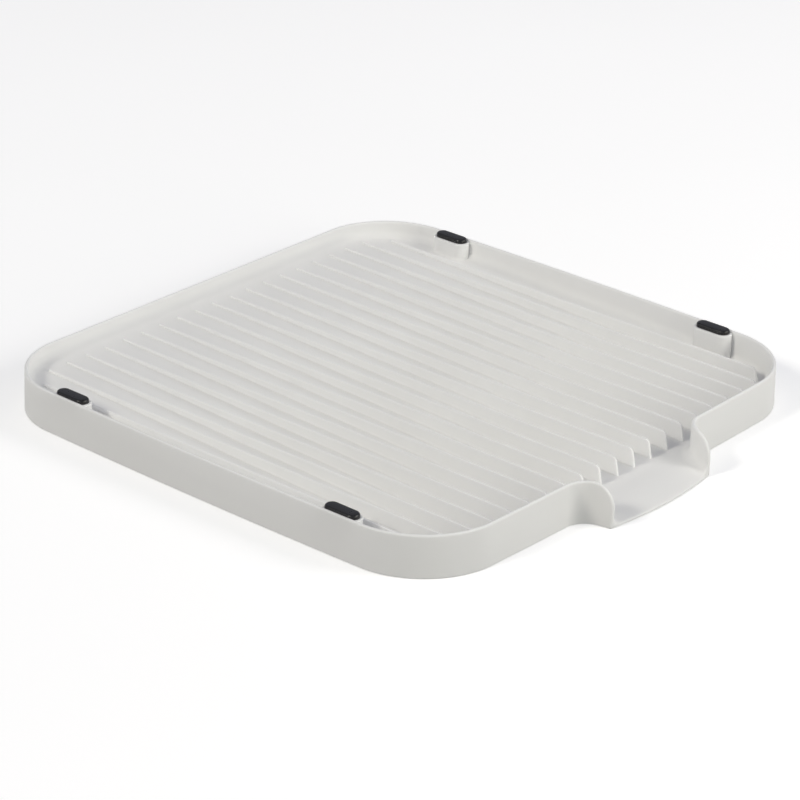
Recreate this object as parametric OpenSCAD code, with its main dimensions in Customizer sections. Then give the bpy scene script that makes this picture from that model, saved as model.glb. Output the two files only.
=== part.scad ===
// Draining tray: one moulded tray with drain ribs and a pouring spout, and four rubber rest pads.
// X runs across the tray, the spout faces -Y and Z is up.
// The origin is the middle of the tray's footprint, spout included, on the table.

/* [Tray] */
// Width across the side walls where they meet the corners
tray_w = 350; // [320:1:380]
// Length from the front wall to the back wall where they meet the corners
tray_l = 345; // [320:1:380]
// Height of the rim above the table
rim_h = 26.2; // [24:0.1:32]
// Radius of the four corners of the outline
corner_r = 49.5; // [40:0.5:60]
// How far each side wall bows outward at its middle
side_bow = 2.8; // [0:0.1:5]
// How far the front wall bows outward at its middle
front_bow = 3.5; // [0:0.1:5]
// Thickness of the walls
wall_t = 2.2; // [1.8:0.1:3]

/* [Floor] */
// Height of the floor's upper face at the back wall
floor_back_z = 16.5; // [12:0.1:16.6]
// Height of the floor's upper face at the front wall
floor_front_z = 5.6; // [5:0.1:8]
// Thickness of the floor
floor_t = 2.2; // [1.8:0.1:2.6]

/* [Ribs] */
// Number of drain ribs, an odd number so that one is central
rib_count = 21; // [15:2:21]
// Distance from one rib to the next
rib_pitch = 15.6; // [14:0.1:15.6]
// Thickness of a rib
rib_t = 1.6; // [1.2:0.1:2]
// Height of the level tops of the ribs above the table
rib_top_z = 17.2; // [17:0.1:19]
// Gap between a rib's front foot and the inside of the walls
rib_front_gap = 6.6; // [5:0.2:9]
// Gap between a rib's back end and the inside of the back wall
rib_back_gap = 11.8; // [8:0.2:14]
// Gap between a rib's back end and the inside of a rounded corner
rib_corner_gap = 9.4; // [6:0.2:12]
// How far the front end of a rib leans back from its foot to its top
rib_lean = 2; // [0:0.1:3]
// Radius of the upper front corner of a rib
rib_nose_r = 3; // [1:0.5:4]

/* [Spout] */
// Half width of the spout's root in the front wall, outside
spout_root = 61.5; // [58:0.5:70]
// How far the lip's corners stand out from the front wall
spout_reach = 19.6; // [18:0.2:22]
// How far the lip's edge bows outward at its middle
lip_bow = 3.8; // [2:0.2:6]
// Radius of the fillet between the front wall and each side of the spout
spout_fillet_r = 14; // [12:0.5:15]
// How far each side of the spout turns from the front wall, in degrees
spout_turn = 80; // [70:1:85]
// Radius of the upper front corner of each side of the spout
spout_cheek_r = 14; // [10:0.5:16]
// Where the floor starts to curve down towards the lip, inside the lip's middle
ramp_run = 19; // [16:0.5:22]
// Height of the lip's upper edge above the table
lip_z = 2.2; // [1.2:0.1:3]

/* [Rest pads] */
// Width of a rubber pad
pad_w = 8.6; // [7:0.1:8.8]
// Length of a rubber pad
pad_l = 23.2; // [18:0.2:28]
// Height of a pad's top above the rim
pad_proud = 1.6; // [1:0.1:3]
// Height of the black side that shows above its post
pad_show = 2.8; // [2:0.1:4]
// Depth of the pocket that a pad is seated in
pocket_d = 1.2; // [0.8:0.1:2]
// Distance of the pads from the middle plane, across the tray
pad_x = 170.2; // [168:0.1:170.4]
// Distance of the front pads from the middle of the square tray
pad_front_y = 105; // [90:0.2:110]
// Distance of the back pads from the middle of the square tray
pad_back_y = 106; // [90:0.2:110]
// Width of the ledge round a pad on its post
post_margin = 1.6; // [1.2:0.1:2]
// Wall thickness of the hollow posts
post_wall = 1.8; // [1.5:0.1:2]

/* [Hidden] */
$fn = 64;
tray_colour = [0.88, 0.88, 0.86];
rubber_colour = [0.16, 0.16, 0.17];
cut = 1;
far = 300;
corner_steps = 12;
side_steps = 8;
front_y = -tray_l / 2;
back_y = tray_l / 2;
root_y = front_y - front_bow * (1 - pow(2 * spout_root / tray_w, 2));
corner_y = root_y - spout_reach;
lip_y = corner_y - lip_bow;
ramp_y = lip_y + ramp_run;
floor_slope = (floor_back_z - floor_front_z) / tray_l;
post_top_z = rim_h + pad_proud - pad_show;
centre_shift = -(lip_y + back_y) / 2;

// Points along an arc about c, from angle a0 to angle a1
function arc(c, r, a0, a1, steps) = [
    for (i = [0:steps])
        let (a = a0 + (a1 - a0) * i / steps)
        [c.x + r * cos(a), c.y + r * sin(a)]
];

// Points from p to q, without q
function line_points(p, q, steps) = [for (i = [0:steps - 1]) p + (q - p) * i / steps];

// A point of the square outline, pushed outward by the bow of the side that it is on
function bowed(p) = [
    p.x + side_bow * (1 - pow(p.y / back_y, 2)) * 2 * p.x / tray_w,
    p.y < 0 ? p.y + front_bow * (1 - pow(2 * p.x / tray_w, 2)) * p.y / back_y : p.y
];

// The square outline with round corners, moved inward by inset
function square_outline(inset) =
    let (
        r = corner_r - inset,
        x = tray_w / 2 - corner_r,
        y = tray_l / 2 - corner_r,
        e = arc([x, y], r, 0, 90, corner_steps),
        f = arc([-x, y], r, 90, 180, corner_steps),
        g = arc([-x, -y], r, 180, 270, corner_steps),
        h = arc([x, -y], r, 270, 360, corner_steps)
    )
    [for (p = concat(
        e, line_points([x - cut, y + r], [-x, y + r], side_steps),
        f, line_points([-x - r, y - cut], [-x - r, -y], side_steps),
        g, line_points([-x + cut, -y - r], [x, -y - r], side_steps),
        h, line_points([x + r, -y + cut], [x + r, y], side_steps)
    )) bowed(p)];

// One side of the spout from its root to the lip's corner, moved inward by inset, on the +X side
function spout_cheek(inset) =
    let (
        r = spout_fillet_r + inset,
        c = [spout_root, root_y - spout_fillet_r],
        curve = arc(c, r, 90, 90 + spout_turn, corner_steps),
        last = curve[corner_steps],
        run = last.y - corner_y
    )
    concat([[c.x, root_y + far / 6]], curve, [[last.x - run / tan(spout_turn), corner_y]]);

function mirrored(points) = [for (i = [len(points) - 1:-1:0]) [-points[i].x, points[i].y]];

// The lip's front edge from the +X corner to the -X corner
function lip_edge(half, steps) = [
    for (i = [1:steps - 1])
        let (x = half - 2 * half * i / steps)
        [x, corner_y - lip_bow * (1 - pow(x / half, 2))]
];

// Height of the floor's upper face: a slope, then a curve down to the lip
function floor_z(y) =
    let (plane = floor_front_z + floor_slope * (y - front_y))
    y > ramp_y ? plane : plane - ramp_drop * pow((ramp_y - y) / ramp_run, 2);
ramp_drop = floor_front_z + floor_slope * (lip_y - front_y) - lip_z;

floor_line = concat(
    [[back_y + far / 6, floor_z(back_y + far / 6)]],
    [for (i = [0:corner_steps]) let (y = ramp_y - ramp_run * i / corner_steps) [y, floor_z(y)]]
);

// Extrudes an outline drawn with Y across and Z up along X, centred on the middle plane
module across(width) {
    rotate([90, 0, 90]) translate([0, 0, -width / 2]) linear_extrude(width) children();
}

// The outline of the tray and its spout, seen from above
module plan() {
    polygon(square_outline(0));
    cheek = spout_cheek(0);
    half = cheek[len(cheek) - 1].x;
    polygon(concat(cheek, lip_edge(half, corner_steps), mirrored(cheek)));
}

// The inside of the walls, seen from above; the spout's channel runs out past the lip when open
module inner_plan(open) {
    polygon(square_outline(wall_t));
    cheek = spout_cheek(wall_t);
    corner = cheek[len(cheek) - 1];
    end_y = open ? -far : corner_y + wall_t;
    end = [corner.x, end_y];
    polygon(concat(cheek, open ? [end, [-end.x, end.y]] : [], mirrored(cheek)));
}

module above_floor() {
    last = floor_line[len(floor_line) - 1];
    across(far * 2) polygon(concat(floor_line, [[-far, last.y], [-far, far], [back_y + far / 6, far]]));
}

module below_floor() {
    low = [for (p = floor_line) [p.x, p.y - floor_t]];
    across(far * 2) polygon(concat(low, [[lip_y, -far], [back_y + far / 6, -far]]));
}

// What is cut from the top of the spout's sides to round their front corners
module cheek_rounding() {
    c = [corner_y + spout_cheek_r, rim_h - spout_cheek_r];
    across(far) difference() {
        translate([c.x - 2 * spout_cheek_r, c.y]) square(2 * spout_cheek_r);
        translate(c) circle(spout_cheek_r);
        translate([c.x, c.y - cut]) square(2 * spout_cheek_r);
    }
}

module stadium(w, l) {
    for (side = [-1, 1]) translate([0, side * (l - w) / 2]) circle(w / 2);
    square([w, l - w], center = true);
}

// Moves its children to the pad on the side sx, sy of the tray
module at_pad(sx, sy) {
    translate([sx * pad_x, sy > 0 ? pad_back_y : -pad_front_y, 0]) children();
}

module each_pad_place() {
    for (sx = [-1, 1], sy = [-1, 1]) at_pad(sx, sy) children();
}

// How far from the middle a rib at x may reach and keep its gap to the rounded outline
function rib_reach(x, gap) =
    let (
        r = corner_r - wall_t - gap,
        past = max(0, abs(x) - (tray_w / 2 - corner_r))
    )
    tray_l / 2 - corner_r + sqrt(r * r - past * past);

// One rib at x: level on top, its foot in the floor, its upper front corner rounded
module rib(x) {
    front = -rib_reach(x, rib_front_gap);
    back = min(rib_reach(x, rib_corner_gap), back_y - wall_t - rib_back_gap);
    nose = arc([front + rib_lean + rib_nose_r, rib_top_z - rib_nose_r], rib_nose_r, 90, 180, 8);
    foot = floor_t / 2;
    translate([x, 0, 0]) across(rib_t)
        polygon(concat(
            nose,
            [[front, floor_z(front) - foot], [back, floor_z(back) - foot], [back, rib_top_z]]
        ));
}

// A hollow post, open underneath, with a pocket in its top for a pad
module post_solid() {
    linear_extrude(post_top_z) stadium(pad_w + 2 * post_margin, pad_l + 2 * post_margin);
}

module post_hollows() {
    hollow_w = pad_w + 2 * post_margin - 2 * post_wall;
    hollow_l = pad_l + 2 * post_margin - 2 * post_wall;
    translate([0, 0, -cut])
        linear_extrude(post_top_z - pocket_d - post_wall + cut) stadium(hollow_w, hollow_l);
    translate([0, 0, post_top_z - pocket_d]) linear_extrude(far / 6) stadium(pad_w, pad_l);
}

module tray_shell() {
    difference() {
        linear_extrude(rim_h) plan();
        intersection() {
            linear_extrude(far) inner_plan(true);
            above_floor();
        }
        intersection() {
            translate([0, 0, -cut]) linear_extrude(far) inner_plan(false);
            below_floor();
        }
        cheek_rounding();
    }
}

// Keeps the posts above the floor's underside and inside the outline
module posts() {
    intersection() {
        each_pad_place() post_solid();
        linear_extrude(far) plan();
        translate([0, 0, -floor_t]) above_floor();
    }
}

module tray() {
    first = -(rib_count - 1) / 2;
    color(tray_colour) translate([0, centre_shift, 0]) difference() {
        union() {
            tray_shell();
            posts();
            for (i = [first:-first]) rib(i * rib_pitch);
        }
        each_pad_place() post_hollows();
    }
}

// A rubber pad with straight sides, seated in its post's pocket
module pad(sx, sy) {
    color(rubber_colour) translate([0, centre_shift, 0]) at_pad(sx, sy)
        translate([0, 0, post_top_z - pocket_d]) linear_extrude(pocket_d + pad_show) stadium(pad_w, pad_l);
}

module pad_front_left() { pad(-1, -1); }
module pad_front_right() { pad(1, -1); }
module pad_back_left() { pad(-1, 1); }
module pad_back_right() { pad(1, 1); }

tray();
pad_front_left();
pad_front_right();
pad_back_left();
pad_back_right();
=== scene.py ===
"""A white moulded draining tray with a pouring spout and four black rubber rest pads.

The CAD part gives the places. Here the tray is rebuilt as one closed mesh with its mould radii,
drafts and fillets, and each rubber pad as its own piece.
Lengths are in millimetres in the tray's own frame, whose origin is the middle of the square tray.
"""

import math

import bmesh
import bpy
from mathutils import Matrix, Vector


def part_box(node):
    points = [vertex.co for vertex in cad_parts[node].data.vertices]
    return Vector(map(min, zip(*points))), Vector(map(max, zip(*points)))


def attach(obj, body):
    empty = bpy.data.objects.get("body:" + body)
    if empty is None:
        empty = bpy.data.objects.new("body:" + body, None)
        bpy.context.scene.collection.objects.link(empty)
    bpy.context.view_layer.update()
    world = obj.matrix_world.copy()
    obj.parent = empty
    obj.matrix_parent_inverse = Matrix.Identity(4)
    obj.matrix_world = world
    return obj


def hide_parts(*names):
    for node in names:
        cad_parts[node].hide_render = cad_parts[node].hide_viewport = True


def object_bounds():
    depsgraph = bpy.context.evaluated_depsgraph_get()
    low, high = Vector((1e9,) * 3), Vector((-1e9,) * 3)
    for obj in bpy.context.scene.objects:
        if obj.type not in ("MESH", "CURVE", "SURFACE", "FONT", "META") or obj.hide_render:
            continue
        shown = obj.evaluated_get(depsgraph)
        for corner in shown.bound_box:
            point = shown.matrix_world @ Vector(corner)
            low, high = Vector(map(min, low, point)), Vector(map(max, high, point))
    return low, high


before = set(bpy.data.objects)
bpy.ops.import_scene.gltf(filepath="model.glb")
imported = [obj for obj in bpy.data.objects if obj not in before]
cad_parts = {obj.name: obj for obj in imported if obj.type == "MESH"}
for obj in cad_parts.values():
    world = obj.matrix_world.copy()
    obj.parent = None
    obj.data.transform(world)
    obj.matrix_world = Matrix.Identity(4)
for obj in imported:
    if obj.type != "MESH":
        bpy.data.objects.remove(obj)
cad_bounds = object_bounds()

# ---- Sizes, in millimetres, as in the CAD part ----
MM = 0.001
TRAY_W, TRAY_L = 350.0, 345.0
CORNER_R = 49.5
SIDE_BOW, FRONT_BOW = 2.8, 3.5
WALL_T = 2.2
FLOOR_BACK_Z, FLOOR_FRONT_Z, FLOOR_T = 16.5, 5.6, 2.2
RIB_COUNT, RIB_PITCH = 21, 15.6
RIB_T, RIB_TOP_Z = 1.6, 17.2
RIB_FRONT_GAP, RIB_BACK_GAP, RIB_CORNER_GAP = 6.6, 11.8, 9.4
RIB_LEAN, RIB_NOSE_R = 2.0, 3.0
SPOUT_ROOT, SPOUT_REACH, LIP_BOW = 61.5, 19.6, 3.8
SPOUT_FILLET_R, SPOUT_TURN, CHEEK_R = 14.0, 80.0, 14.0
PAD_W, PAD_L, PAD_SHOW = 8.6, 23.2, 2.8
POST_MARGIN = 1.6

# ---- Mould details that the CAD part leaves out ----
LEAN = 0.57            # how far the outer wall leans in between the table and the rim
EDGE_R = 1.1           # half the rounded rim
BASE_R = 0.6           # rounding of the lower outer edge
INNER_DRAFT = 0.0125   # how much the inner wall slopes in, per millimetre below the rim
COVE_R = 5.5           # hollow corner between wall and floor
LIP_Z = 2.2            # upper face of the floor at the lip's corners
RAMP_FROM_Y = -177.5   # the floor turns down towards the lip in front of this
SKIRT_IN = 2.6         # inner face of the skirt under the floor
SKIRT_COVE_R = 1.0
RIB_FOOT_R = 0.5
RIB_EDGE_R = 0.45
RIB_DRAFT = 0.012
POST_EDGE_R = 0.7
POST_FOOT_R = 1.5
POST_REACH = 175.0     # the posts' outer sides end inside the wall
PAD_EDGE_R = 1.5
PAD_CROWN = 0.12
PAD_FOOT_BEVEL = 0.3   # the pad's hidden lower edge, inside its pocket
SEAT_GAP = 0.02        # between the pad and the floor of its pocket
POCKET_GAP = 0.05      # between the pad and the sides of its pocket
SEAT_T = 1.8           # plastic left under the pocket
HOLLOW_SHIFT = 0.5     # how far the post's hollow lies towards the middle of the tray
RIB_CORNER_R = 0.7     # the rib's upright edges, seen from above
# The levels of a rib's upper part, as depths below its top
RIB_DEPTHS = (3, 2.7, 2.4, 2.1, 1.8, 1.5, 1.2, 0.9, 0.65, 0.45, 0.32, 0.2, 0.12, 0.05, 0.01)

# ---- Derived values ----
HALF_W, HALF_L = TRAY_W / 2, TRAY_L / 2
ROOT_Y = -HALF_L - FRONT_BOW * (1 - (SPOUT_ROOT / HALF_W) ** 2)
CORNER_Y = ROOT_Y - SPOUT_REACH
CHEEK_TOP_Y = CORNER_Y + CHEEK_R
CHEEK_END_ANGLE = math.radians(90 + SPOUT_TURN)
FLOOR_SLOPE = (FLOOR_BACK_Z - FLOOR_FRONT_Z) / TRAY_L
cad_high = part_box("tray")[1]
RIM_H = cad_high.z / MM
CENTRE_SHIFT = cad_high.y / MM - HALF_L

# In metres
FLOOR_DROP = 0.0001         # so that the tray's foot and the studio floor don't coincide
WELD = 0.0001 * MM          # points of one outline that fall on each other
POST_WELD = 0.004 * MM      # slivers left where the posts join the shell

COVE_STEPS = 8
WALL_STEPS = 6
EDGE_STEPS = 8
BASE_STEPS = 4
LIP_STEPS = 32
FIRST_FRONT_K = 90     # every station from this one on is on the front half of the outline


def place(x, y, z):
    """A point of the tray's frame, in metres in the frame that all the tools share."""
    return Vector((x * MM, (y + CENTRE_SHIFT) * MM, z * MM))


def spread(a, b, steps):
    """steps + 1 even values from a to b."""
    return [a + (b - a) * i / steps for i in range(steps + 1)]


# ---- The outline, as stations from the middle of the back to the end of the spout's cheek ----
def bowed(x, y):
    x_out = SIDE_BOW * (1 - (y / HALF_L) ** 2) * x / HALF_W
    y_out = FRONT_BOW * (1 - (x / HALF_W) ** 2) * y / HALF_L if y < 0 else 0
    return x + x_out, y + y_out


def back_station(x):
    return lambda inset: (x, HALF_L - inset)


def corner_station(side, angle):
    cx, cy = HALF_W - CORNER_R, side * (HALF_L - CORNER_R)

    def at(inset):
        r = CORNER_R - inset
        return bowed(cx + r * math.cos(angle), cy + r * math.sin(angle))
    return at


def side_station(y):
    return lambda inset: bowed(HALF_W - inset, y)


def front_station(x):
    return lambda inset: bowed(x, inset - HALF_L)


def fillet_point(inset, angle):
    r = SPOUT_FILLET_R + inset
    return SPOUT_ROOT + r * math.cos(angle), ROOT_Y - SPOUT_FILLET_R + r * math.sin(angle)


def cheek_angle(y, inset):
    return math.pi - math.asin((y - ROOT_Y + SPOUT_FILLET_R) / (SPOUT_FILLET_R + inset))


def cheek_point(y, inset):
    """The cheek's face at y: part of the fillet, then straight to the lip."""
    x_end, y_end = fillet_point(inset, CHEEK_END_ANGLE)
    if y < y_end:
        return x_end + (y_end - y) * math.tan(CHEEK_END_ANGLE), y
    return fillet_point(inset, cheek_angle(y, inset))


def fillet_station(share):
    def at(inset):
        last = cheek_angle(CHEEK_TOP_Y, inset)
        return fillet_point(inset, math.pi / 2 + share * (last - math.pi / 2))
    return at


def cheek_station(angle):
    y = CHEEK_TOP_Y + (CHEEK_R - EDGE_R) * math.cos(angle)
    return lambda inset: cheek_point(y, inset)


def make_stations():
    """The half ring's stations. Each is a function from an inset to (x, y), and the angle at which
    the rim faces there: 90 degrees is up, and 180 is forward, at the end of the cheek."""
    up = math.pi / 2
    straight_x, straight_y = HALF_W - CORNER_R, HALF_L - CORNER_R
    stations = [(back_station(x), up) for x in spread(0, straight_x, 12)[:-1]]
    stations += [(corner_station(1, a), up) for a in spread(up, 0, 32)[:-1]]
    stations += [(side_station(y), up) for y in spread(straight_y, -straight_y, 24)[:-1]]
    stations += [(corner_station(-1, a), up) for a in spread(0, -up, 32)[:-1]]
    stations += [(front_station(x), up) for x in spread(straight_x, SPOUT_ROOT, 10)[:-1]]
    stations += [(fillet_station(s), up) for s in spread(0, 1, 14)[:-1]]
    stations += [(cheek_station(a), a) for a in spread(up, math.pi, 14)]
    return stations


STATIONS = make_stations()


# ---- Heights ----
def plane_z(y):
    """The floor's upper face, without the ramp."""
    return FLOOR_FRONT_Z + FLOOR_SLOPE * (y + HALF_L)


def outer_inset(z):
    return LEAN * z / RIM_H


def inner_inset(z):
    return LEAN + WALL_T + (RIM_H - z) * INNER_DRAFT


def foot_inset():
    return inner_inset(plane_z(0) + COVE_R) + COVE_R


def station_y(station):
    return station[0](foot_inset())[1]


RAMP_K = next(k for k, s in enumerate(STATIONS)
              if k > FIRST_FRONT_K and station_y(s) < RAMP_FROM_Y)
RAMP_START_Y = station_y(STATIONS[RAMP_K])
RAMP_END_Y = station_y(STATIONS[-1])
RAMP_DROP = plane_z(RAMP_END_Y) - LIP_Z


def ramp_share(y):
    return max(0.0, (RAMP_START_Y - y) / (RAMP_START_Y - RAMP_END_Y))


def floor_z(y):
    return plane_z(y) - RAMP_DROP * ramp_share(y) ** 2


def edge_points(outer, inner, facing):
    """Points of the rounded edge between an outer and an inner point, both left out."""
    bulge = Vector((0, math.cos(facing), math.sin(facing))) * EDGE_R
    points = []
    for angle in spread(0, math.pi, EDGE_STEPS)[1:-1]:
        share = (1 - math.cos(angle)) / 2
        points.append(outer.lerp(inner, share) + bulge * math.sin(angle))
    return points


def wall_profile(station):
    """A station's points: the inner side from the floor to the rim, the outer side from the rim to
    the table, and the under side from the table to the floor's lower face."""
    at, facing = station
    top = RIM_H - CHEEK_R + (CHEEK_R - EDGE_R) * math.sin(facing)

    def point(inset, z):
        x, y = at(inset)
        return Vector((x, y, z))

    foot = foot_inset()
    z_foot = floor_z(at(foot)[1])
    bend = z_foot + COVE_R
    inner = [point(foot - COVE_R * math.sin(a), z_foot + COVE_R * (1 - math.cos(a)))
             for a in spread(0, math.pi / 2, COVE_STEPS)]
    cove_end = foot - COVE_R
    for z in spread(bend, top, WALL_STEPS)[1:]:
        share = (z - bend) / (top - bend)
        inner.append(point(cove_end + share * (inner_inset(top) - cove_end), z))
    outer = [point(outer_inset(z), z) for z in spread(top, bend, WALL_STEPS)]
    down_steps = COVE_STEPS - BASE_STEPS
    outer += [point(outer_inset(z), z) for z in spread(bend, BASE_R, down_steps)[1:]]
    outer += [point(BASE_R * (1 - math.cos(a)), BASE_R * (1 - math.sin(a)))
              for a in spread(0, math.pi / 2, BASE_STEPS)[1:]]
    z_under = floor_z(at(SKIRT_IN + SKIRT_COVE_R)[1]) - FLOOR_T
    under = [point(SKIRT_IN, 0)]
    radius = min(SKIRT_COVE_R, max(z_under, 0.2) * 0.6)
    under += [point(SKIRT_IN + SKIRT_COVE_R * (1 - math.cos(a)),
                    z_under - radius * (1 - math.sin(a)))
              for a in spread(0, math.pi / 2, 4)]
    return inner, outer, under, facing


# ---- Building the mesh ----
def write_mesh(bm, mesh, weld):
    """Welds points closer than weld, turns every face outwards, and ends the bmesh."""
    bmesh.ops.remove_doubles(bm, verts=bm.verts, dist=weld)
    bmesh.ops.dissolve_degenerate(bm, edges=bm.edges, dist=weld)
    bmesh.ops.recalc_face_normals(bm, faces=bm.faces)
    bm.to_mesh(mesh)
    bm.free()


class Builder:
    """A bmesh in metres whose points are given in the tray's frame."""

    def __init__(self):
        self.bm = bmesh.new()

    def vert(self, p):
        return self.bm.verts.new(place(*p))

    def row(self, points):
        return [self.vert(p) for p in points]

    def strip(self, a, b):
        """Quads between two rows of as many vertices."""
        for i in range(len(a) - 1):
            corners = [a[i], a[i + 1], b[i + 1], b[i]]
            corners = [v for j, v in enumerate(corners) if v not in corners[:j]]
            if len(corners) > 2:
                self.bm.faces.new(corners)

    def loft(self, loops):
        """Closed loops joined one to the next, the last one capped. Returns the first."""
        rows = [self.row(loop) for loop in loops]
        for a, b in zip(rows, rows[1:]):
            self.strip(a + a[:1], b + b[:1])
        self.bm.faces.new(rows[-1])
        return rows[0]

    def edges(self, row, closed=False):
        """The edges along a row, made where they aren't there yet."""
        ends = row[1:] + row[:1] if closed else row[1:]
        found = []
        for a, b in zip(row, ends):
            found.append(self.bm.edges.get((a, b)) or self.bm.edges.new((a, b)))
        return found

    def fill(self, edges):
        bmesh.ops.triangle_fill(self.bm, edges=edges, use_beauty=True, use_dissolve=False)

    def mesh(self, name):
        mesh = bpy.data.meshes.new(name)
        write_mesh(self.bm, mesh, WELD)
        return mesh


def mirrored(p):
    return Vector((-p.x, p.y, p.z))


def slot_outline(half_w, y0, y1, corner_r, steps=4):
    """A closed outline with round corners, long in Y, as (x, y) pairs."""
    r = min(corner_r, half_w)
    points = []
    for cx, cy, a0 in ((half_w - r, y1 - r, 0), (r - half_w, y1 - r, 90),
                       (r - half_w, y0 + r, 180), (half_w - r, y0 + r, 270)):
        for a in spread(math.radians(a0), math.radians(a0 + 90), steps):
            points.append((cx + r * math.cos(a), cy + r * math.sin(a)))
    return points


# ---- The tray's shell ----
def lip_row(first, bow, steps=LIP_STEPS):
    """Points from first to its mirror image, bowed forward by bow at the middle."""
    shares = spread(1, -1, steps)[1:-1]
    return [Vector((first.x * t, first.y - bow * (1 - t * t), first.z)) for t in shares]


def ramp_bow(y):
    return LIP_BOW * ramp_share(y) ** 1.5


def add_shell(build):
    """The walls, spout and floor. Returns the edges round the flat part of the floor."""
    profiles = [wall_profile(s) for s in STATIONS]
    sides = []
    for flip in (False, True):
        columns = []
        for k, (inner, outer, under, facing) in enumerate(profiles):
            if flip and k == 0:
                columns.append(sides[0][0])
                continue
            edge = edge_points(outer[0], inner[-1], facing)[::-1]
            points = inner + edge + outer + under
            columns.append(build.row([mirrored(p) if flip else p for p in points]))
        sides.append(columns)
    inner_n = len(profiles[0][0])
    outer_0 = inner_n + EDGE_STEPS - 1
    outer_n = len(profiles[0][1])
    under_0 = outer_0 + outer_n
    last = len(STATIONS) - 1
    cave_k = next(k for k in range(RAMP_K, last) if floor_z(profiles[k][2][-1].y) < FLOOR_T + 1)
    for columns in sides:
        for k in range(last):
            a, b = columns[k], columns[k + 1]
            build.strip(a[:under_0], b[:under_0])
            if k < cave_k:
                build.strip(a[under_0 - 1:], b[under_0 - 1:])

    # The rounded edge, down the end of each cheek and along the lip
    inner, outer = profiles[last][0][::-1], profiles[last][1]
    rows = list(zip(inner, outer))
    i_row, o_row = lip_row(inner[-1], LIP_BOW), lip_row(outer[-1], LIP_BOW)
    middle = [edge_points(o, i, math.pi) for i, o in zip(i_row, o_row)]
    right, left = sides[0][last], sides[1][last]
    upper_lip = [right[0]] + build.row(i_row) + [left[0]]
    lower_lip = [right[under_0 - 1]] + build.row(o_row) + [left[under_0 - 1]]
    crosses = []
    for column, flip in ((right, False), (left, True)):
        side_rows = [column[inner_n - 1:outer_0 + 1][::-1]]
        for n, (i, o) in enumerate(rows[1:], 1):
            points = edge_points(o, i, math.pi)
            points = [mirrored(p) if flip else p for p in points]
            side_rows.append([column[outer_0 + n]] + build.row(points) + [column[inner_n - 1 - n]])
        crosses.append(side_rows)
    lip_rows = [[o] + build.row(m) + [i]
                for o, m, i in zip(lower_lip[1:-1], middle, upper_lip[1:-1])]
    whole = crosses[0] + lip_rows + crosses[1][::-1]
    for a, b in zip(whole, whole[1:]):
        build.strip(a, b)

    # The ramp, as rungs from cheek to cheek
    rungs = []
    for k in range(RAMP_K, last):
        foot = profiles[k][0][0]
        points = lip_row(foot, ramp_bow(foot.y))
        rungs.append([sides[0][k][0]] + build.row(points) + [sides[1][k][0]])
    rungs.append(upper_lip)
    for a, b in zip(rungs, rungs[1:]):
        build.strip(a, b)

    # The same from below, up to the front of the cavity
    flat_k = max(k for k in range(FIRST_FRONT_K, last)
                 if profiles[k][2][-1].y >= RAMP_START_Y)
    under_rungs = []
    for k in range(flat_k, cave_k + 1):
        foot = profiles[k][2][-1]
        points = lip_row(foot, ramp_bow(foot.y))
        under_rungs.append([sides[0][k][-1]] + build.row(points) + [sides[1][k][-1]])
    for a, b in zip(under_rungs, under_rungs[1:]):
        build.strip(a, b)
    front = [under_rungs[-1]]
    for n in range(2, len(profiles[0][2]) + 1):
        start = profiles[cave_k][2][-n]
        points = lip_row(start, ramp_bow(profiles[cave_k][2][-1].y))
        front.append([sides[0][cave_k][-n]] + build.row(points) + [sides[1][cave_k][-n]])
    for a, b in zip(front, front[1:]):
        build.strip(a, b)
    land = [c[under_0 - 1] for c in sides[0][cave_k:]] + lower_lip[1:-1]
    land += [c[under_0 - 1] for c in sides[1][cave_k:]][::-1]
    build.fill(build.edges(land + front[-1][::-1], closed=True))

    def ring(k_end, index):
        left_part = [c[index] for c in sides[1][1:k_end + 1]][::-1]
        return left_part + [c[index] for c in sides[0][:k_end + 1]]

    build.fill(build.edges(ring(flat_k, -1)) + build.edges(under_rungs[0]))
    return build.edges(ring(RAMP_K, 0)) + build.edges(rungs[0])


# ---- Ribs ----
def rib_reach(x, gap):
    r = CORNER_R - WALL_T - gap
    past = max(0.0, abs(x) - (HALF_W - CORNER_R))
    return HALF_L - CORNER_R + math.sqrt(r * r - past * past)


def rounded(z, top, r):
    """How far a vertical face has turned in at height z, below a rounded edge of radius r."""
    over = max(0.0, z - (top - r))
    return r - math.sqrt(max(0.0, r * r - over * over))


def rib_level(py, depth):
    """The height of a rib's level that lies depth below its top, squeezed where the rib is low."""
    room = min(RIB_NOSE_R, RIB_TOP_Z - plane_z(py) - RIB_FOOT_R)
    if depth > RIB_EDGE_R:
        depth = RIB_EDGE_R + (depth - RIB_EDGE_R) * (room - RIB_EDGE_R) / (RIB_NOSE_R - RIB_EDGE_R)
    return RIB_TOP_Z - depth


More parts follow.
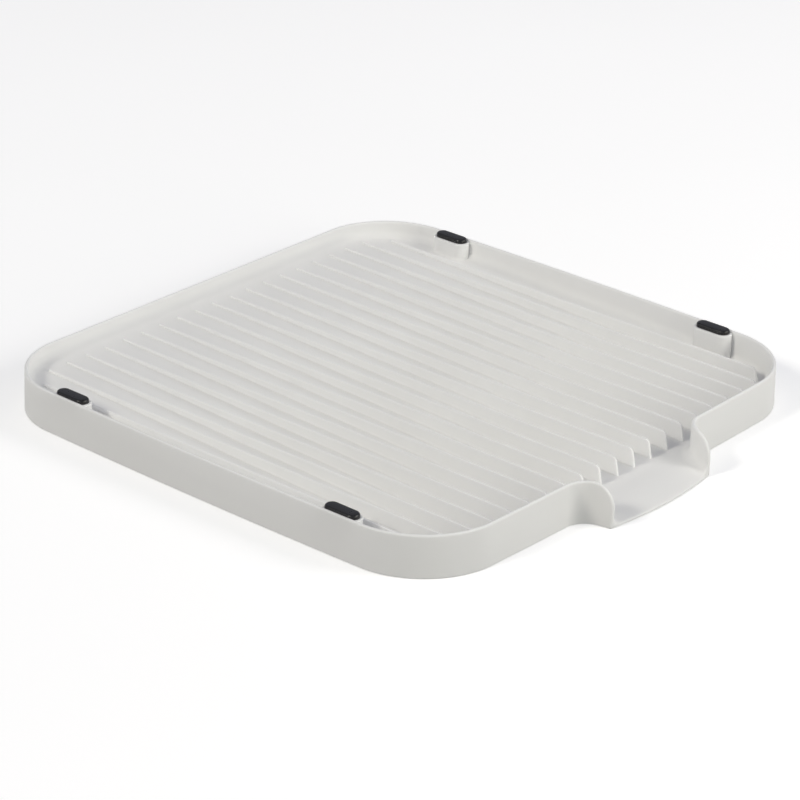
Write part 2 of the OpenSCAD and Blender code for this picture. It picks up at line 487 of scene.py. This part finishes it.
def rib_loops(x):
    front = -rib_reach(x, RIB_FRONT_GAP)
    back = min(rib_reach(x, RIB_CORNER_GAP), HALF_L - WALL_T - RIB_BACK_GAP)
    loops = []
    for a in spread(0, math.pi / 2, 5):
        flare, rise = RIB_FOOT_R * (1 - math.sin(a)), RIB_FOOT_R * (1 - math.cos(a))
        half = RIB_T / 2 + RIB_DRAFT * (RIB_TOP_Z - plane_z(0)) + flare
        outline = slot_outline(half, front - flare, back + flare, RIB_CORNER_R + flare)
        loops.append([(x + px, py, plane_z(py) + rise) for px, py in outline])
    foot_z = plane_z(front) + RIB_FOOT_R
    for depth in RIB_DEPTHS:
        z = RIB_TOP_Z - depth
        lean = RIB_LEAN * (z - foot_z) / (RIB_TOP_Z - foot_z)
        nose = rounded(z, RIB_TOP_Z, RIB_NOSE_R)
        edge = rounded(z, RIB_TOP_Z, RIB_EDGE_R)
        half = RIB_T / 2 + RIB_DRAFT * depth - edge
        corner_r = max(0.1, RIB_CORNER_R - edge)
        outline = slot_outline(half, front + lean + nose, back - edge, corner_r)
        loops.append([(x + px, py, rib_level(py, depth)) for px, py in outline])
    return loops


# ---- Posts ----
def stadium(half_w, half_l, steps=12):
    return slot_outline(half_w, -half_l, half_l, half_w, steps)


def add_block(build, x, y, levels, reach=HALF_W + SIDE_BOW):
    """A closed solid of stadium loops. Each level is half its width, half its length, its height
    and whether that is above the sloping floor. No point lies further than reach to the side."""
    loops = []
    for half_w, half_l, z, on_floor in levels:
        loop = []
        for px, py in stadium(half_w, half_l):
            rise = plane_z(y + py) if on_floor else 0
            px = max(-reach - x, min(reach - x, px))
            loop.append((x + px, y + py, z + rise))
        loops.append(loop)
    first = build.loft(loops)
    build.bm.faces.new(first)


def post_levels(half_w, half_l, top):
    levels = [(half_w + POST_FOOT_R, half_l + POST_FOOT_R, -1.0, True)]
    for a in spread(0, math.pi / 2, 5):
        flare, rise = POST_FOOT_R * (1 - math.sin(a)), POST_FOOT_R * (1 - math.cos(a))
        levels.append((half_w + flare, half_l + flare, rise, True))
    for a in spread(0, math.pi / 2, 5):
        turn = POST_EDGE_R * (1 - math.cos(a))
        z = top - POST_EDGE_R * (1 - math.sin(a))
        levels.append((half_w - turn, half_l - turn, z, False))
    return levels


def pad_places():
    """Each rubber pad's node, with its centre in the tray's frame and the height of its seat."""
    for node in ("pad_front_left", "pad_front_right", "pad_back_left", "pad_back_right"):
        low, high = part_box(node)
        middle = (low + high) / (2 * MM)
        yield node, middle.x, middle.y - CENTRE_SHIFT, low.z / MM, high.z / MM


def boolean(target, operand_mesh, operation):
    operand = bpy.data.objects.new("operand", operand_mesh)
    bpy.context.scene.collection.objects.link(operand)
    modifier = target.modifiers.new("boolean", "BOOLEAN")
    modifier.object, modifier.operation, modifier.solver = operand, operation, "EXACT"
    depsgraph = bpy.context.evaluated_depsgraph_get()
    result = bpy.data.meshes.new_from_object(target.evaluated_get(depsgraph))
    target.modifiers.clear()
    target.data = result
    bpy.data.objects.remove(operand)


def add_posts(tray):
    """The hollow posts, each with a pocket for its pad."""
    posts, cuts = Builder(), Builder()
    for _, x, y, seat, top in pad_places():
        post_top = top - PAD_SHOW
        half_w, half_l = PAD_W / 2 + POST_MARGIN, PAD_L / 2 + POST_MARGIN
        add_block(posts, x, y, post_levels(half_w, half_l, post_top), POST_REACH)
        pocket = (PAD_W / 2 + POCKET_GAP, PAD_L / 2 + POCKET_GAP)
        add_block(cuts, x, y, [(*pocket, seat, False), (*pocket, RIM_H + 1, False)])
        inward = -HOLLOW_SHIFT if x > 0 else HOLLOW_SHIFT
        hollow = (PAD_W / 2 - 0.8, PAD_L / 2 - 0.6)
        add_block(cuts, x + inward, y, [(*hollow, -1, False), (*hollow, seat - SEAT_T, False)])
    boolean(tray, posts.mesh("posts"), "UNION")
    boolean(tray, cuts.mesh("post_cuts"), "DIFFERENCE")
    bm = bmesh.new()
    bm.from_mesh(tray.data)
    write_mesh(bm, tray.data, POST_WELD)


def finish_shading(piece, angle):
    piece.data.shade_smooth()
    piece.data.set_sharp_from_angle(angle=math.radians(angle))
    modifier = piece.modifiers.new("weighted_normals", "WEIGHTED_NORMAL")
    modifier.keep_sharp, modifier.weight = True, 60


def new_piece(name, mesh, material, node):
    mesh.name = name
    piece = bpy.data.objects.new(name, mesh)
    bpy.context.scene.collection.objects.link(piece)
    piece.data.materials.clear()
    piece.data.materials.append(material)
    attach(piece, "root")
    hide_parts(node)
    return piece


def make_tray(material):
    build = Builder()
    flat_edges = add_shell(build)
    first = -(RIB_COUNT - 1) // 2
    for i in range(first, -first + 1):
        foot = build.loft(rib_loops(i * RIB_PITCH))
        flat_edges += build.edges(foot, closed=True)
    build.fill(flat_edges)
    tray = new_piece("moulded_tray", build.mesh("moulded_tray"), material, "tray")
    add_posts(tray)
    tray.data.materials.clear()
    tray.data.materials.append(material)
    finish_shading(tray, 32)
    return tray


# ---- Rubber pads ----
def make_pad(node, x, y, seat, top, material):
    half_w, half_l = PAD_W / 2, PAD_L / 2
    build = Builder()
    bevel = PAD_FOOT_BEVEL
    levels = [(half_w - bevel, half_l - bevel, seat + SEAT_GAP, False),
              (half_w, half_l, seat + bevel, False)]
    for a in spread(0, math.pi / 2, 8):
        turn = PAD_EDGE_R * (1 - math.cos(a))
        z = top - PAD_CROWN - PAD_EDGE_R * (1 - math.sin(a))
        levels.append((half_w - turn, half_l - turn, z, False))
    for share in (0.75, 0.5, 0.25):
        inset = PAD_EDGE_R + (half_w - PAD_EDGE_R) * (1 - share)
        z = top - PAD_CROWN * share * share
        levels.append((half_w - inset, half_l - inset, z, False))
    add_block(build, x, y, levels)
    pad = new_piece("rubber_" + node, build.mesh(node), material, node)
    finish_shading(pad, 50)
    return pad


# ---- Materials ----
NOISE_LOW, NOISE_HIGH = 0.3, 0.7     # the range that a noise texture really fills


def new_material(name):
    material = bpy.data.materials.new(name)
    material.use_nodes = True
    nodes, links = material.node_tree.nodes, material.node_tree.links
    return material, nodes, links, nodes["Principled BSDF"]


def noise(nodes, links, coords, scale, detail, roughness=0.5):
    node = nodes.new("ShaderNodeTexNoise")
    node.inputs["Scale"].default_value = scale
    node.inputs["Detail"].default_value = detail
    node.inputs["Roughness"].default_value = roughness
    links.new(coords, node.inputs["Vector"])
    return node.outputs["Fac"]


def mapped(nodes, links, value, low, high, out_low, out_high):
    node = nodes.new("ShaderNodeMapRange")
    for name, number in (("From Min", low), ("From Max", high),
                         ("To Min", out_low), ("To Max", out_high)):
        node.inputs[name].default_value = number
    links.new(value, node.inputs["Value"])
    return node.outputs["Result"]


def varied(nodes, links, coords, scale, detail, low=0, high=1):
    """A cloudy value that runs from low to high."""
    value = noise(nodes, links, coords, scale, detail)
    return mapped(nodes, links, value, NOISE_LOW, NOISE_HIGH, low, high)


def mixed(nodes, links, share, a, b):
    node = nodes.new("ShaderNodeMix")
    node.data_type = "RGBA"
    node.inputs["A"].default_value = (*a, 1)
    node.inputs["B"].default_value = (*b, 1)
    links.new(share, node.inputs["Factor"])
    return node.outputs["Result"]


def bump(nodes, links, height, strength, distance, normal=None):
    node = nodes.new("ShaderNodeBump")
    node.inputs["Strength"].default_value = strength
    node.inputs["Distance"].default_value = distance
    links.new(height, node.inputs["Height"])
    if normal:
        links.new(normal, node.inputs["Normal"])
    return node.outputs["Normal"]


def plastic_material():
    material, nodes, links, shader = new_material("white_moulded_plastic")
    coords = nodes.new("ShaderNodeTexCoord").outputs["Object"]
    cloud = varied(nodes, links, coords, 14, 3)
    colour = mixed(nodes, links, cloud, (0.843, 0.841, 0.831), (0.859, 0.858, 0.849))
    links.new(colour, shader.inputs["Base Color"])
    rough = varied(nodes, links, coords, 60, 4, 0.48, 0.58)
    links.new(rough, shader.inputs["Roughness"])
    grain = noise(nodes, links, coords, 1800, 3, 0.6)
    waves = noise(nodes, links, coords, 45, 2)
    normal = bump(nodes, links, waves, 0.25, 0.00035)
    normal = bump(nodes, links, grain, 0.25, 0.00003, normal)
    links.new(normal, shader.inputs["Normal"])
    shader.inputs["IOR"].default_value = 1.49
    shader.inputs["Subsurface Weight"].default_value = 1.0
    shader.inputs["Subsurface Radius"].default_value = (1, 1, 1)
    shader.inputs["Subsurface Scale"].default_value = 0.002
    return material


def rubber_material():
    material, nodes, links, shader = new_material("black_moulded_rubber")
    coords = nodes.new("ShaderNodeTexCoord").outputs["Object"]
    cloud = varied(nodes, links, coords, 90, 4)
    colour = mixed(nodes, links, cloud, (0.007, 0.007, 0.008), (0.013, 0.012, 0.013))
    links.new(colour, shader.inputs["Base Color"])
    rough = varied(nodes, links, coords, 400, 3, 0.26, 0.36)
    links.new(rough, shader.inputs["Roughness"])
    grain = noise(nodes, links, coords, 2600, 4, 0.6)
    links.new(bump(nodes, links, grain, 0.35, 0.00005), shader.inputs["Normal"])
    shader.inputs["IOR"].default_value = 1.52
    return material


def floor_material():
    material, nodes, links, shader = new_material("pale_floor")
    coords = nodes.new("ShaderNodeTexCoord").outputs["Object"]
    cloud = varied(nodes, links, coords, 2, 2)
    colour = mixed(nodes, links, cloud, (0.93, 0.93, 0.93), (0.95, 0.95, 0.95))
    links.new(colour, shader.inputs["Base Color"])
    shader.inputs["Roughness"].default_value = 0.9
    shader.inputs["Emission Color"].default_value = (1, 1, 1, 1)
    shader.inputs["Emission Strength"].default_value = 0.3
    return material


# ---- Floor, light and camera ----
def make_floor(material):
    build = bmesh.new()
    bmesh.ops.create_grid(build, x_segments=8, y_segments=8, size=12)
    mesh = bpy.data.meshes.new("studio_floor")
    build.to_mesh(mesh)
    build.free()
    mesh.materials.append(material)
    floor = bpy.data.objects.new("studio_floor", mesh)
    floor.location.z = cad_bounds[0].z - FLOOR_DROP
    floor.visible_diffuse = False    # no bounce of the lamps: the world lights from below
    bpy.context.scene.collection.objects.link(floor)


def direction(azimuth, elevation):
    """The direction towards a place at that azimuth and elevation, in degrees. Azimuth 0 is in
    front of the spout, and 90 at the tray's right."""
    a, e = math.radians(azimuth), math.radians(elevation)
    return Vector((math.sin(a) * math.cos(e), -math.cos(a) * math.cos(e), math.sin(e)))


def add_light(name, azimuth, elevation, distance, size, power, colour):
    data = bpy.data.lights.new(name, "AREA")
    data.shape, data.size, data.energy, data.color = "DISK", size, power, colour
    light = bpy.data.objects.new(name, data)
    away = direction(azimuth, elevation)
    light.location = away * distance
    light.rotation_euler = away.to_track_quat("Z", "Y").to_euler()
    bpy.context.scene.collection.objects.link(light)


def make_world():
    """Even light from all round, a little cooler from above."""
    world = bpy.data.worlds.new("soft_studio")
    world.use_nodes = True
    nodes, links = world.node_tree.nodes, world.node_tree.links
    split = nodes.new("ShaderNodeSeparateXYZ")
    links.new(nodes.new("ShaderNodeTexCoord").outputs["Generated"], split.inputs["Vector"])
    height = mapped(nodes, links, split.outputs["Z"], -0.1, 0.1, 0, 1)
    colour = mixed(nodes, links, height, (0.293, 0.290, 0.280), (0.308, 0.316, 0.355))
    links.new(colour, nodes["Background"].inputs["Color"])
    nodes["Background"].inputs["Strength"].default_value = 1
    bpy.context.scene.world = world


def make_light():
    make_world()
    add_light("key", 27, 30, 2.4, 0.9, 17.5, (1, 0.97, 0.93))
    add_light("left", -106, 38, 12, 3, 554, (1, 0.964, 0.855))
    add_light("front", 0, 15, 2.6, 1.25, 13.5, (1, 1, 0.845))


def make_camera():
    azimuth, elevation, distance, roll = -49.422, 25.138, 1905.24, 1.364
    aim = Vector((-9.63, 6.46, 5.93)) * MM
    away = direction(azimuth, elevation)
    data = bpy.data.cameras.new("camera")
    data.sensor_width, data.lens = 36, 143.49
    data.clip_start, data.clip_end = 0.05, 60
    camera = bpy.data.objects.new("camera", data)
    turn = away.to_track_quat("Z", "Y").to_matrix().to_4x4()
    camera.matrix_world = (Matrix.Translation(aim + away * distance * MM) @ turn
                           @ Matrix.Rotation(math.radians(roll), 4, "Z"))
    bpy.context.scene.collection.objects.link(camera)
    bpy.context.scene.camera = camera


make_camera()
make_light()
make_floor(floor_material())
make_tray(plastic_material())
rubber = rubber_material()
for pad_place in pad_places():
    make_pad(*pad_place, rubber)
bpy.context.scene.view_settings.view_transform = "Standard"

bpy.context.view_layer.update()
